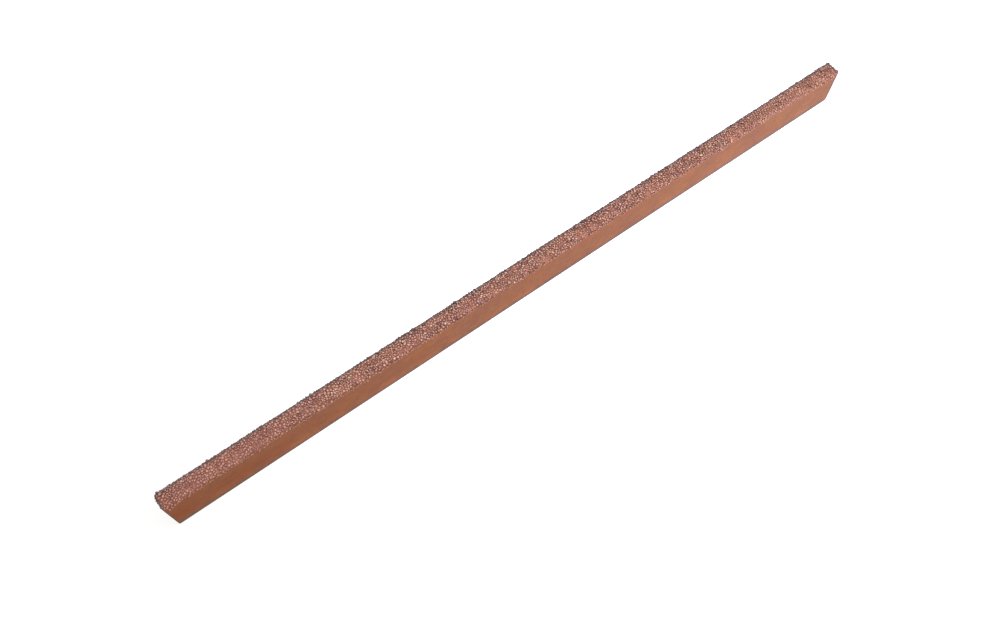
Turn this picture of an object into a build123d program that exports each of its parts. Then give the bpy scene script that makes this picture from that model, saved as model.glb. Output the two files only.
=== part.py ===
from build123d import *
import math
import os
import random

# Sanding stick: a flat steel bar that stands on its narrow base. Tungsten carbide grains
# are brazed with copper along its upper narrow edge, and the same copper, run out thin,
# coats the sides, the base and the ends. All sizes are in millimetres.
# Origin: the middle of the base, on the surface that the stick stands on.
# +X runs along the stick, +Y points to its back face, and +Z up to the grit.

# Steel bar
steel_length = 279.8
steel_thickness = 5.6
steel_height = 15.0
heel_round = 1.1        # lower corner at the +X end, knocked off
corner_round = 0.4      # the other three corners in side view
arris_round = 0.2       # every edge of the two wide faces

# Copper
film_thickness = 0.1    # thin coat on the sides, base and ends
bed_thickness = 0.3     # braze pool on the working edge
lap_depth = 1.0         # how far the bed comes down the sides and ends

# Carbide grains on the working edge
grain_size = 0.95       # widest across
grain_stand = 0.45      # crest above the bed
grain_pitch = 3.1       # along the stick
grain_row_pitch = 1.7   # the rows lie at least this far apart

# Smaller grains that lap over onto the sides and ends
fringe_size = 0.7
fringe_stand = 0.2
fringe_pitch = 3.1
fringe_end_pitch = 1.6

# How the grains vary
pattern_count = 8
scatter_share = 0.9     # share of the room between grains that their scatter may use
scatter_seed = 41


def rounded_bar(length, thickness, height, heel, corner, arris):
    """A bar on the plane z = 0, rounded at its corners in side view and along its arrises."""
    outline = Pos(0, height / 2) * Rectangle(length, height)
    outline = fillet(outline.vertices().group_by(Axis.Y)[-1], corner)
    outline = fillet(outline.vertices().group_by(Axis.Y)[0].sort_by(Axis.X)[0], corner)
    outline = fillet(outline.vertices().group_by(Axis.Y)[0].sort_by(Axis.X)[-1], heel)
    bar = extrude(Plane.XZ * outline, amount=thickness / 2, both=True)
    return fillet(bar.faces().filter_by(Axis.Y).edges(), arris)


def grain_pattern(size, stand, dice):
    """One faceted grain, with its foot on the plane z = 0."""
    sides = dice.choice((4, 5))
    corners = []
    for k in range(sides):
        angle = math.tau * (k + dice.uniform(-0.25, 0.25)) / sides
        reach = size / 2 * dice.uniform(0.8, 1.0)
        corners.append((reach * math.cos(angle), reach * math.sin(angle)))
    foot = make_face(Polyline(*corners, close=True))
    stub = extrude(foot, amount=stand, taper=dice.uniform(8, 16))
    tilt = math.radians(dice.uniform(15, 30))
    heading = dice.uniform(0, math.tau)
    lean_x = math.sin(tilt) * math.cos(heading)
    lean_y = math.sin(tilt) * math.sin(heading)
    facet = Plane(origin=(0, 0, stand * 0.9), z_dir=(lean_x, lean_y, math.cos(tilt)))
    return split(stub, bisect_by=facet, keep=Keep.BOTTOM).solid()


def scatter(seat_plane, bank, size, pitch, row_pitch, along, across, dice):
    """Grains seated on a plane, in staggered rows that fill along by across at its origin."""
    columns = max(1, math.floor((along - size) / pitch) + 1)
    rows = max(1, math.floor((across - size) / row_pitch) + 1)
    row_step = (across - size) / max(1, rows - 1)
    play = scatter_share * (pitch - size) / 2
    grains = []
    for row in range(rows):
        staggered = row % 2
        for column in range(columns - staggered):
            u = (column + staggered / 2 - (columns - 1) / 2) * pitch + dice.uniform(-play, play)
            v = (row - (rows - 1) / 2) * row_step
            seat = Location(seat_plane) * Location((u, v, 0), (0, 0, dice.uniform(0, 360)))
            grains.append(dice.choice(bank).moved(seat))
    return grains


# Levels and faces that everything else takes its place from
steel_top = film_thickness + steel_height
bed_top = steel_top + bed_thickness
lap_line = steel_top - lap_depth
side_face = steel_thickness / 2 + film_thickness
end_face = steel_length / 2 + film_thickness
lap_middle = lap_line + lap_depth / 2

# The bar, and the copper around it: the film below the lap line, the bed above it
steel_bar = Pos(0, 0, film_thickness) * rounded_bar(
    steel_length, steel_thickness, steel_height, heel_round, corner_round, arris_round
)
coated_bar = rounded_bar(
    2 * end_face,
    2 * side_face,
    bed_top,
    heel_round + film_thickness,
    corner_round + film_thickness,
    arris_round + film_thickness,
)
copper = coated_bar - steel_bar
copper_film = split(copper, bisect_by=Plane.XY.offset(lap_line), keep=Keep.BOTTOM)
braze_bed = split(copper, bisect_by=Plane.XY.offset(lap_line), keep=Keep.TOP)

# The grains, each with its foot flat on the bed
dice = random.Random(scatter_seed)
edge_bank = [grain_pattern(grain_size, grain_stand, dice) for _ in range(pattern_count)]
fringe_bank = [grain_pattern(fringe_size, fringe_stand, dice) for _ in range(pattern_count)]
top_plane = Plane(origin=(0, 0, bed_top), x_dir=(1, 0, 0), z_dir=(0, 0, 1))
front_plane = Plane(origin=(0, -side_face, lap_middle), x_dir=(1, 0, 0), z_dir=(0, -1, 0))
back_plane = Plane(origin=(0, side_face, lap_middle), x_dir=(-1, 0, 0), z_dir=(0, 1, 0))
left_plane = Plane(origin=(-end_face, 0, lap_middle), x_dir=(0, -1, 0), z_dir=(-1, 0, 0))
right_plane = Plane(origin=(end_face, 0, lap_middle), x_dir=(0, 1, 0), z_dir=(1, 0, 0))

flat_length = 2 * (end_face - corner_round - film_thickness)
flat_width = 2 * (side_face - arris_round - film_thickness)


def scatter_fringe(seat_plane, pitch, along):
    """One row of fringe grains, which fills the lap's depth over the length along."""
    return scatter(
        seat_plane, fringe_bank, fringe_size, pitch, fringe_size, along, lap_depth, dice
    )


grit = {
    "grit_working_edge": scatter(
        top_plane,
        edge_bank,
        grain_size,
        grain_pitch,
        grain_row_pitch,
        flat_length,
        flat_width,
        dice,
    ),
    "grit_front_lap": scatter_fringe(front_plane, fringe_pitch, flat_length),
    "grit_back_lap": scatter_fringe(back_plane, fringe_pitch, flat_length),
    "grit_left_end": scatter_fringe(left_plane, fringe_end_pitch, flat_width),
    "grit_right_end": scatter_fringe(right_plane, fringe_end_pitch, flat_width),
}

# One file for each sub-part
subparts = {
    "steel_bar": steel_bar,
    "copper_film": copper_film,
    "braze_bed": braze_bed,
}
for name, grains in grit.items():
    subparts[name] = Compound(grains)

os.makedirs("parts", exist_ok=True)
for name, shape in subparts.items():
    export_step(shape, f"parts/{name}.step")
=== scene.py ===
"""The looks of a carbide-grit sanding stick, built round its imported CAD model.

The stick is a copper-coated steel bar whose upper narrow edge carries crushed carbide
grains in a braze bed. The bar and its copper film are the CAD's own meshes with new
finishes. The bed and the grains are modelled here and stand for their CAD nodes.
"""

import functools
import itertools
import logging
import math
import random
from collections import defaultdict
from collections.abc import Callable
from dataclasses import dataclass, field
from enum import Enum

import bpy
import numpy as np
from mathutils import Matrix, Vector, noise
from mathutils.kdtree import KDTree


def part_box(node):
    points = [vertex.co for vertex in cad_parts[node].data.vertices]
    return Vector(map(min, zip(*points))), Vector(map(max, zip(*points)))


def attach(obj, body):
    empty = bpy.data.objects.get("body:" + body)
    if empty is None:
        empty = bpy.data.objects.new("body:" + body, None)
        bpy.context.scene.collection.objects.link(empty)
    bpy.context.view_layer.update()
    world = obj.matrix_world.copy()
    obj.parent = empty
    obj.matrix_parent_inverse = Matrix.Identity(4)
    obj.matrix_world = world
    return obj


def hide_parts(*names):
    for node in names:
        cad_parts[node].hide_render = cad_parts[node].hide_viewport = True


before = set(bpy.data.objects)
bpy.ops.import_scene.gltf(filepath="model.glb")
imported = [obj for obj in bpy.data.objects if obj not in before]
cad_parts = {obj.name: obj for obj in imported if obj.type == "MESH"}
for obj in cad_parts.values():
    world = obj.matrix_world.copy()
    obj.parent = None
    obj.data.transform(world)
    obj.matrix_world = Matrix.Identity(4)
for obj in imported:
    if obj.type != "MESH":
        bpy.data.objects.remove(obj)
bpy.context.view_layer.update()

MM = 0.001
TOUCH = 0.001 * MM  # places nearer than this count as one
NOISE_SPAN = (0.3, 0.7)  # the values that a noise texture has on the whole
ROOT = "root"
log = logging.getLogger("sanding_stick")

EdgeTest = Callable[[Vector, Vector], bool]


# ---------------------------------------------------------------- the stick's own sizes


@dataclass(frozen=True)
class StickSizes:
    """The stick's faces and levels, in metres, as the CAD nodes give them.

    Attributes:
        end_x: Half the length of the film, and so of the bed.
        side_y: Half its thickness.
        steel_end_x: Half the steel bar's length.
        steel_side_y: Half the bar's thickness.
        steel_top_z: The level of the bar's top.
        lap_z: The level where the film ends and the bed begins.
        bed_z: The level of the bed's top.
        arris: The radius of the bed's upper arrises.
    """

    end_x: float
    side_y: float
    steel_end_x: float
    steel_side_y: float
    steel_top_z: float
    lap_z: float
    bed_z: float
    arris: float = 0.3 * MM

    @classmethod
    def from_nodes(cls) -> "StickSizes":
        """Reads the sizes from the CAD nodes' boxes.

        Returns:
            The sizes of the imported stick.
        """
        film_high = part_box("copper_film")[1]
        steel_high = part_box("steel_bar")[1]
        return cls(
            end_x=film_high.x,
            side_y=film_high.y,
            steel_end_x=steel_high.x,
            steel_side_y=steel_high.y,
            steel_top_z=steel_high.z,
            lap_z=film_high.z,
            bed_z=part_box("braze_bed")[1].z,
        )


class Zone(Enum):
    """The faces of the stick that carry grains, by the CAD node that each replaces."""

    WORKING_EDGE = "grit_working_edge"
    FRONT_LAP = "grit_front_lap"
    BACK_LAP = "grit_back_lap"
    LEFT_END = "grit_left_end"
    RIGHT_END = "grit_right_end"


# ---------------------------------------------------------------------- mesh helpers


def deselect_all() -> None:
    """Leaves nothing selected, in object mode."""
    if bpy.context.object and bpy.context.object.mode != "OBJECT":
        bpy.ops.object.mode_set(mode="OBJECT")
    bpy.ops.object.select_all(action="DESELECT")


def add_block(name: str, low: Vector, high: Vector) -> bpy.types.Object:
    """Adds a rectangular block between two corners, with its place in its mesh.

    Args:
        name: The object's name.
        low: The lowest corner, in metres.
        high: The highest corner, in metres.

    Returns:
        The block, selected and active.
    """
    deselect_all()
    bpy.ops.mesh.primitive_cube_add(size=1.0, location=(low + high) / 2)
    block = bpy.context.object
    block.name = name
    block.scale = high - low
    bpy.ops.object.transform_apply(location=True, rotation=True, scale=True)
    return block


def select_edges(obj: bpy.types.Object, wanted: EdgeTest) -> None:
    """Selects the edges for which wanted(a, b) is true, in edge mode.

    Args:
        obj: The mesh object, in object mode.
        wanted: A test of an edge's two end points.
    """
    mesh = obj.data
    points = [v.co for v in mesh.vertices]
    for face in mesh.polygons:
        face.select = False
    for vertex in mesh.vertices:
        vertex.select = False
    for edge in mesh.edges:
        a, b = edge.vertices
        edge.select = wanted(points[a], points[b])
    bpy.context.tool_settings.mesh_select_mode = (False, True, False)


def runs_along(axis: int, a: Vector, b: Vector) -> bool:
    """True if the edge from a to b runs along that axis and no other."""
    straight = 0.98
    return abs((b - a)[axis]) > straight * (b - a).length > 0


def cut_edges(obj: bpy.types.Object, wanted: EdgeTest, cuts: int) -> None:
    """Subdivides chosen edges, so that the strips between them become grids.

    Args:
        obj: The mesh object, active and in object mode.
        wanted: A test of an edge's two end points.
        cuts: How many cuts each chosen edge gets.
    """
    select_edges(obj, wanted)
    bpy.ops.object.mode_set(mode="EDIT")
    bpy.ops.mesh.subdivide(number_cuts=cuts, quadcorner="INNERVERT")
    bpy.ops.object.mode_set(mode="OBJECT")


# -------------------------------------------------------------------- carbide grains


@dataclass(frozen=True)
class Chip:
    """One grain's shape: corner points about its middle, and faces as corner numbers."""

    points: np.ndarray
    faces: list[tuple[int, ...]]


@dataclass
class ChipCutter:
    """Cuts crushed carbide chips from a block, each by a few cleavage planes.

    Lengths are shares of half the block's length.

    Attributes:
        kinds: How many shapes are cut.
        cleavages: How many planes cut each of them.
        plane_reach: How near the middle and how far from it a plane may lie.
        widths: The least and the greatest half width of a block.
        heights: The least and the greatest half height.
        turn_step: How far each plane is turned from the one before it.
        turn_slip: How much that turn may be off, either way.
        merge: The length below which an edge closes up.
        seed: The seed of chance.
    """

    kinds: int = 14
    cleavages: int = 7
    plane_reach: tuple[float, float] = (0.72, 0.98)
    widths: tuple[float, float] = (0.7, 1.0)
    heights: tuple[float, float] = (0.65, 0.95)
    turn_step: float = math.pi * (3 - math.sqrt(5))
    turn_slip: float = 0.35
    merge: float = 0.06
    seed: int = 7

    def cut_all(self) -> list[Chip]:
        """Cuts every kind of chip.

        Returns:
            The chips, each two units across at most.
        """
        dice = random.Random(self.seed)
        return [self.cut_one(dice) for _ in range(self.kinds)]

    def cut_one(self, dice: random.Random) -> Chip:
        """Cuts one chip from a block, and takes the block away again.

        Args:
            dice: The source of chance.

        Returns:
            The chip.
        """
        half = Vector((1.0, dice.uniform(*self.widths), dice.uniform(*self.heights)))
        block = add_block("chip_block", -half, half)
        bpy.ops.object.mode_set(mode="EDIT")
        turn = dice.uniform(0, math.tau)
        for k in range(self.cleavages):
            up = 1 - 2 * (k + 0.5) / self.cleavages
            heading = turn + k * self.turn_step + dice.uniform(-self.turn_slip, self.turn_slip)
            out = math.sqrt(1 - up * up)
            normal = Vector((out * math.cos(heading), out * math.sin(heading), up))
            bpy.ops.mesh.select_all(action="SELECT")
            bpy.ops.mesh.bisect(
                plane_co=normal * dice.uniform(*self.plane_reach),
                plane_no=normal,
                use_fill=True,
                clear_outer=True,
            )
        bpy.ops.mesh.select_all(action="SELECT")
        bpy.ops.mesh.remove_doubles(threshold=self.merge)
        bpy.ops.mesh.normals_make_consistent(inside=False)
        bpy.ops.object.mode_set(mode="OBJECT")
        mesh = block.data
        points = np.array([v.co for v in mesh.vertices])
        faces = [tuple(face.vertices) for face in mesh.polygons]
        bpy.data.objects.remove(block)
        bpy.data.meshes.remove(mesh)
        return Chip(points / np.linalg.norm(points, axis=1).max(), faces)


@dataclass(frozen=True)
class Seat:
    """Where one grain sits: a point on the bed, the way out of it, and the grain's size."""

    point: Vector
    out: Vector
    size: float
    zone: Zone


@dataclass(frozen=True)
class WrappedOutline:
    """A flat top that turns down over a rounded arris on both sides.

    A place t along it is 0 in the middle of the top, and grows over the arris and down.
    """

    half: float
    top: float
    arris: float

    @property
    def flat(self) -> float:
        """Half the width of the flat top."""
        return self.half - self.arris

    @property
    def turned(self) -> float:
        """The place where the arris ends and the side begins."""
        return self.flat + self.arris * math.pi / 2

    def at(self, t: float) -> tuple[float, float, float, float]:
        """The point and the outward direction at a place along the outline.

        Args:
            t: The place, in metres from the middle of the top.

        Returns:
            The sideways place, the height, and the sideways and upward parts of the normal.
        """
        side, reach = math.copysign(1.0, t), abs(t)
        if reach <= self.flat:
            return t, self.top, 0.0, 1.0
        if reach <= self.turned:
            turn = (reach - self.flat) / self.arris
            place = self.flat + self.arris * math.sin(turn)
            height = self.top - self.arris * (1 - math.cos(turn))
            return side * place, height, side * math.sin(turn), math.cos(turn)
        depth = reach - self.turned
        return side * self.half, self.top - self.arris - depth, side, 0.0


NEIGHBOURS = tuple(itertools.product((-1, 0, 1), repeat=3))


@dataclass
class GrainScatter:
    """Throws grains onto the bed, largest first, until small ones have filled the gaps.

    Lengths are in metres, and rates are waves per metre of a noise.

    Attributes:
        sizes: The stick's sizes.
        bands: Each band's least and greatest grain size, and how many throws it gets.
        nestle: How near two grains may sit, as a share of their mean size.
        overhang: How near the rim a coarse grain may sit, as a share of its size.
        lap_mean: How far down the laps the grains reach on the whole.
        lap_swing: How much that depth varies.
        lap_fade: How much farther down a stray grain may sit.
        lap_thinning: The power that makes strays rare.
        lap_shallowest: The least depth.
        lap_deepest: The greatest depth.
        lap_smallest_grain: The size below which no grain sits on a long lap.
        lap_room: How much more room a grain takes on the laps.
        sweep_rate: The rate of the slow swing of the depth.
        sweep_share: The strength of the slow swing, where the quick one's is 1.
        flicker_rate: The rate of the quick swing.
        side_key: What sets the two long laps' swings apart.
        end_key: What sets the two ends' swings apart.
        coarse: The size past which a grain counts as coarse.
        clump_rate: The rate at which places for coarse grains come and go.
        clump_least: The noise below which no coarse grain sits.
        corner_lap: How much farther down the grains reach at the ends.
        corner_reach: How far from the ends that fades.
        corner: The radius of the corners of the plan that the grains keep to.
        end_share: The share of the throws that are at the two ends.
        level: The upward part of a normal past which the bed counts as level.
        sideways: The sideways part of a normal past which a grain is on a lap.
        seed: The seed of chance.
        seats: The grains thrown so far.
        cells: The same grains by the cell of a grid, to find neighbours.
    """

    sizes: StickSizes
    bands: tuple[tuple[float, float, int], ...] = (
        (1.02 * MM, 1.32 * MM, 9000),
        (0.80 * MM, 1.02 * MM, 16000),
        (0.60 * MM, 0.80 * MM, 22000),
        (0.46 * MM, 0.60 * MM, 20000),
    )
    nestle: float = 0.74
    overhang: float = 0.22
    lap_mean: float = 0.50 * MM
    lap_swing: float = 1.30 * MM
    lap_fade: float = 0.70 * MM
    lap_thinning: int = 4
    lap_shallowest: float = 0.10 * MM
    lap_deepest: float = 1.35 * MM
    lap_smallest_grain: float = 0.50 * MM
    lap_room: float = 1.10
    sweep_rate: float = 190.0
    sweep_share: float = 0.6
    flicker_rate: float = 560.0
    side_key: float = 9.0
    end_key: float = 3.0
    coarse: float = 0.84 * MM
    clump_rate: float = 300.0
    clump_least: float = -0.20
    corner_lap: float = 0.7 * MM
    corner_reach: float = 3.0 * MM
    corner: float = 1.3 * MM
    end_share: float = 0.04
    level: float = 0.9
    sideways: float = 0.75
    seed: int = 23
    seats: list[Seat] = field(default_factory=list)
    cells: dict = field(default_factory=lambda: defaultdict(list))

    @property
    def cell(self) -> float:
        """The side of a cell in the neighbour grid."""
        return self.bands[0][1]

    def lap_depth(self, along: float, key: float) -> float:
        """How far below the arris grains reach at a place along an edge.

        Args:
            along: The place along the edge, in metres.
            key: A number that tells the edges apart.

        Returns:
            The depth in metres.
        """
        sweep = noise.noise(Vector((along * self.sweep_rate, key, 0.0)))
        flicker = noise.noise(Vector((along * self.flicker_rate, key, 5.0)))
        from_end = self.sizes.end_x - abs(along)
        corner = self.corner_lap * math.exp(-from_end / self.corner_reach)
        depth = self.lap_mean + corner + self.lap_swing * (self.sweep_share * sweep + flicker)
        return min(max(depth, self.lap_shallowest), self.lap_deepest + corner)

    def cell_at(self, point: Vector) -> tuple[int, ...]:
        """The cell of the neighbour grid that holds a point."""
        return tuple(math.floor(c / self.cell) for c in point)

    def is_free(self, point: Vector, size: float) -> bool:
        """Finds whether a grain fits among those already thrown.

        Args:
            point: Where it would sit.
            size: The room that it takes, in metres.

        Returns:
            True if no other grain is too near.
        """
        x, y, z = self.cell_at(point)
        for dx, dy, dz in NEIGHBOURS:
            for seat in self.cells.get((x + dx, y + dy, z + dz), ()):
                room = self.nestle * (size + seat.size) / 2
                if (seat.point - point).length_squared < room * room:
                    return False
        return True

    def is_on_plan(self, point: Vector) -> bool:
        """Finds whether a point is on the stick's plan, which has rounded corners.

        Args:
            point: The point.

        Returns:
            False if it is out in one of the four corners.
        """
        past_x = abs(point.x) - (self.sizes.end_x - self.corner)
        past_y = abs(point.y) - (self.sizes.side_y - self.corner)
        return min(past_x, past_y) < 0 or math.hypot(past_x, past_y) < self.corner

    def keep(self, point: Vector, out: Vector, size: float, zone: Zone) -> None:
        """Seats a grain if there is room for it, with more room round it on the laps.

        Args:
            point: Where it would sit.
            out: The way out of the bed there.
            size: Its size, in metres.
            zone: The zone that it would belong to.
        """
        room = size if zone is Zone.WORKING_EDGE else size * self.lap_room
        rim = min(self.sizes.side_y - abs(point.y), self.sizes.end_x - abs(point.x))
        if size > self.coarse and out.z > self.level and rim < self.overhang * size:
            return
        if self.is_on_plan(point) and self.is_free(point, room):
            seat = Seat(point, out, size, zone)
            self.seats.append(seat)
            self.cells[self.cell_at(point)].append(seat)

    def throw_along(self, dice: random.Random, size: float) -> None:
        """Throws one grain at the working edge or at one of the long laps.

        Args:
            dice: The source of chance.
            size: The grain's size, in metres.
        """
        s = self.sizes
        outline = WrappedOutline(s.side_y, s.bed_z, s.arris)
        reach = outline.turned + self.lap_mean + self.corner_lap + self.lap_swing + self.lap_fade
        t, x = dice.uniform(-reach, reach), dice.uniform(-s.end_x, s.end_x)
        depth = abs(t) - outline.turned
        if depth > 0:
            spare = self.lap_depth(x, math.copysign(self.side_key, t)) - depth
            if size < self.lap_smallest_grain:
                return
            if spare < -self.lap_fade * dice.random() ** self.lap_thinning:
                return
        y, z, out_y, out_z = outline.at(t)
        clump = noise.noise(Vector((x, y, z)) * self.clump_rate)
        if size > self.coarse and clump < self.clump_least:
            return
        zone = Zone.WORKING_EDGE
        if abs(out_y) > self.sideways:
            zone = Zone.BACK_LAP if t > 0 else Zone.FRONT_LAP
        self.keep(Vector((x, y, z)), Vector((0, out_y, out_z)), size, zone)

    def throw_at_end(self, dice: random.Random, size: float) -> None:
        """Throws one grain at the lap of one of the two ends.

        Args:
            dice: The source of chance.
            size: The grain's size, in metres.
        """
        s = self.sizes
        outline = WrappedOutline(s.end_x, s.bed_z, s.arris)
        reach = self.lap_mean + self.lap_swing + self.lap_fade
        t = math.copysign(outline.flat + dice.uniform(0, reach), dice.uniform(-1, 1))
        y = dice.uniform(-s.side_y + s.arris, s.side_y - s.arris)
        depth = abs(t) - outline.turned
        if depth > 0 and depth > self.lap_depth(y, math.copysign(self.end_key, t)):
            return
        x, z, out_x, out_z = outline.at(t)
        zone = Zone.RIGHT_END if t > 0 else Zone.LEFT_END
        self.keep(Vector((x, y, z)), Vector((out_x, 0, out_z)), size, zone)

    def throw_all(self) -> list[Seat]:
        """Throws every band of grain sizes.

        Returns:
            The seats of the grains that stuck.
        """
        dice = random.Random(self.seed)
        for least, most, throws in self.bands:
            for _ in range(throws):
                size = dice.uniform(least, most)
                if dice.random() < self.end_share:
                    self.throw_at_end(dice, size)
                else:
                    self.throw_along(dice, size)
        return self.seats


@dataclass
class GritCoat:
    """All the grains of the stick, one mesh for each zone.

    Attributes:
        sizes: The stick's sizes.
        seats: Where the grains sit.
        chips: The shapes that they take.
        crest_on_edge: How far grains stand out of the bed on the working edge.
        crest_on_side: How far they stand out on the long laps.
        crest_on_end: How far they stand out at the ends.
        crest_scatter: How much that varies from grain to grain.
        crest_chance: The least and the greatest share of the scatter that a grain gets.
        crest_swell: How much it varies in slow waves.
        swell_rate: The rate of those waves, per metre.
        end_heap: How much higher the grains stand at the ends.
        heap_reach: How far from the ends that fades.
        crest_most: The most that a grain stands out, as a share of its size.
        flatten: The height of a chip, as a share of what was cut.
        girths: The least and the greatest stretch of a chip's breadth.
        lean: How much a grain leans on the whole, as the slope of its upright.
        shade_depth: How far below its crest a grain's painted shade is at its darkest.
        upward: The upward part of a normal past which a grain is on the edge.
        endward: The lengthwise part of a normal past which a grain is at an end.
        seed: The seed of chance.
    """

    sizes: StickSizes
    seats: list[Seat]
    chips: list[Chip]
    crest_on_edge: float = 0.45 * MM
    crest_on_side: float = 0.34 * MM
    crest_on_end: float = 0.27 * MM
    crest_scatter: float = 0.16 * MM
    crest_chance: tuple[float, float] = (-1.0, 0.25)
    crest_swell: float = 0.12 * MM
    end_heap: float = 0.16 * MM
    heap_reach: float = 7.0 * MM
    crest_most: float = 0.72
    swell_rate: float = 230.0
    flatten: float = 0.78
    girths: tuple[float, float] = (0.92, 1.18)
    lean: float = 0.08
    shade_depth: float = 0.42 * MM
    upward: float = 0.6
    endward: float = 0.3
    seed: int = 91

    def crest_over(self, seat: Seat, dice: random.Random) -> float:
        """How far a grain stands out of the bed.

        Args:
            seat: Where it sits.
            dice: The source of chance.

        Returns:
            The height of its crest, in metres.
        """
        crest = self.crest_on_edge if seat.out.z > self.upward else self.crest_on_side
        if abs(seat.out.x) > self.endward:
            crest = self.crest_on_end
        crest += dice.uniform(*self.crest_chance) * self.crest_scatter
        crest += noise.noise(seat.point * self.swell_rate) * self.crest_swell
        from_end = self.sizes.end_x - abs(seat.point.x)
        crest += self.end_heap * math.exp(-from_end / self.heap_reach)
        return min(crest, self.crest_most * seat.size)

    def place(self, chip: Chip, seat: Seat, dice: random.Random) -> tuple[np.ndarray, np.ndarray]:
        """Turns, sizes and seats one chip, with its foot sunk in the braze.

        Args:
            chip: The grain's shape.
            seat: Where it sits.
            dice: The source of chance.

        Returns:
            Its corner points, in metres, and how high each stands, from foot 0 to crest 1.
        """
        axis = Vector((dice.gauss(0, 1), dice.gauss(0, 1), dice.gauss(0, 1))).normalized()
        tumble = np.array(Matrix.Rotation(dice.uniform(0, math.tau), 3, axis))
        points = chip.points @ tumble.T
        points[:, 2] *= self.flatten
        girth = (dice.uniform(*self.girths), dice.uniform(*self.girths), 1.0)
        points *= seat.size / 2 * np.array(girth)
        crest = self.crest_over(seat, dice)
        points[:, 2] += crest - points[:, 2].max()
        # These heights drive the painted shade at the grains' feet.
        heights = np.clip(1 - (crest - points[:, 2]) / self.shade_depth, 0, 1)
        lean = Vector((dice.gauss(0, self.lean), dice.gauss(0, self.lean), 0))
        upright = (seat.out + lean).normalized().to_track_quat("Z", "Y")
        return points @ np.array(upright.to_matrix()).T + np.array(seat.point), heights

    def build_zone(self, zone: Zone, dice: random.Random) -> bpy.types.Object:
        """Makes one mesh of all the grains in a zone, each a closed shape of its own.

        Args:
            zone: The zone.
            dice: The source of chance.

        Returns:
            The zone's object, with a tone for each grain and a height for each corner.
        """
        points, faces, tones, heights = [], [], [], []
        base = 0
        for seat in (s for s in self.seats if s.zone is zone):
            chip = dice.choice(self.chips)
            placed, standing = self.place(chip, seat, dice)
            points.append(placed)
            faces.extend(tuple(base + k for k in face) for face in chip.faces)
            tones.append(np.full(len(placed), dice.random(), np.float32))
            heights.append(standing.astype(np.float32))
            base += len(placed)
        mesh = bpy.data.meshes.new(f"{zone.value}_grains")
        mesh.from_pydata(np.concatenate(points).tolist(), [], faces)
        for name, values in (("grain_tone", tones), ("grain_height", heights)):
            layer = mesh.attributes.new(name, "FLOAT", "POINT")
            layer.data.foreach_set("value", np.concatenate(values))
        grains = bpy.data.objects.new(mesh.name, mesh)
        bpy.context.scene.collection.objects.link(grains)
        return grains

    def build(self) -> dict[Zone, bpy.types.Object]:
        """Makes the grains of every zone.

        Returns:
            The zones' objects.
        """
        dice = random.Random(self.seed)
        return {zone: self.build_zone(zone, dice) for zone in Zone}

    def dress(self, coat: dict[Zone, bpy.types.Object], finish: bpy.types.Material) -> None:
        """Gives the grains their finish and their place in the frame.

        Args:
            coat: The zones' objects.
            finish: The grains' material.
        """
        for zone, grains in coat.items():
            grains.data.materials.append(finish)
            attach(grains, ROOT)
            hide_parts(zone.value)
            count = sum(1 for seat in self.seats if seat.zone is zone)
            log.info("%s: %d grains", grains.name, count)


# ------------------------------------------------------------------------ braze bed


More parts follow.
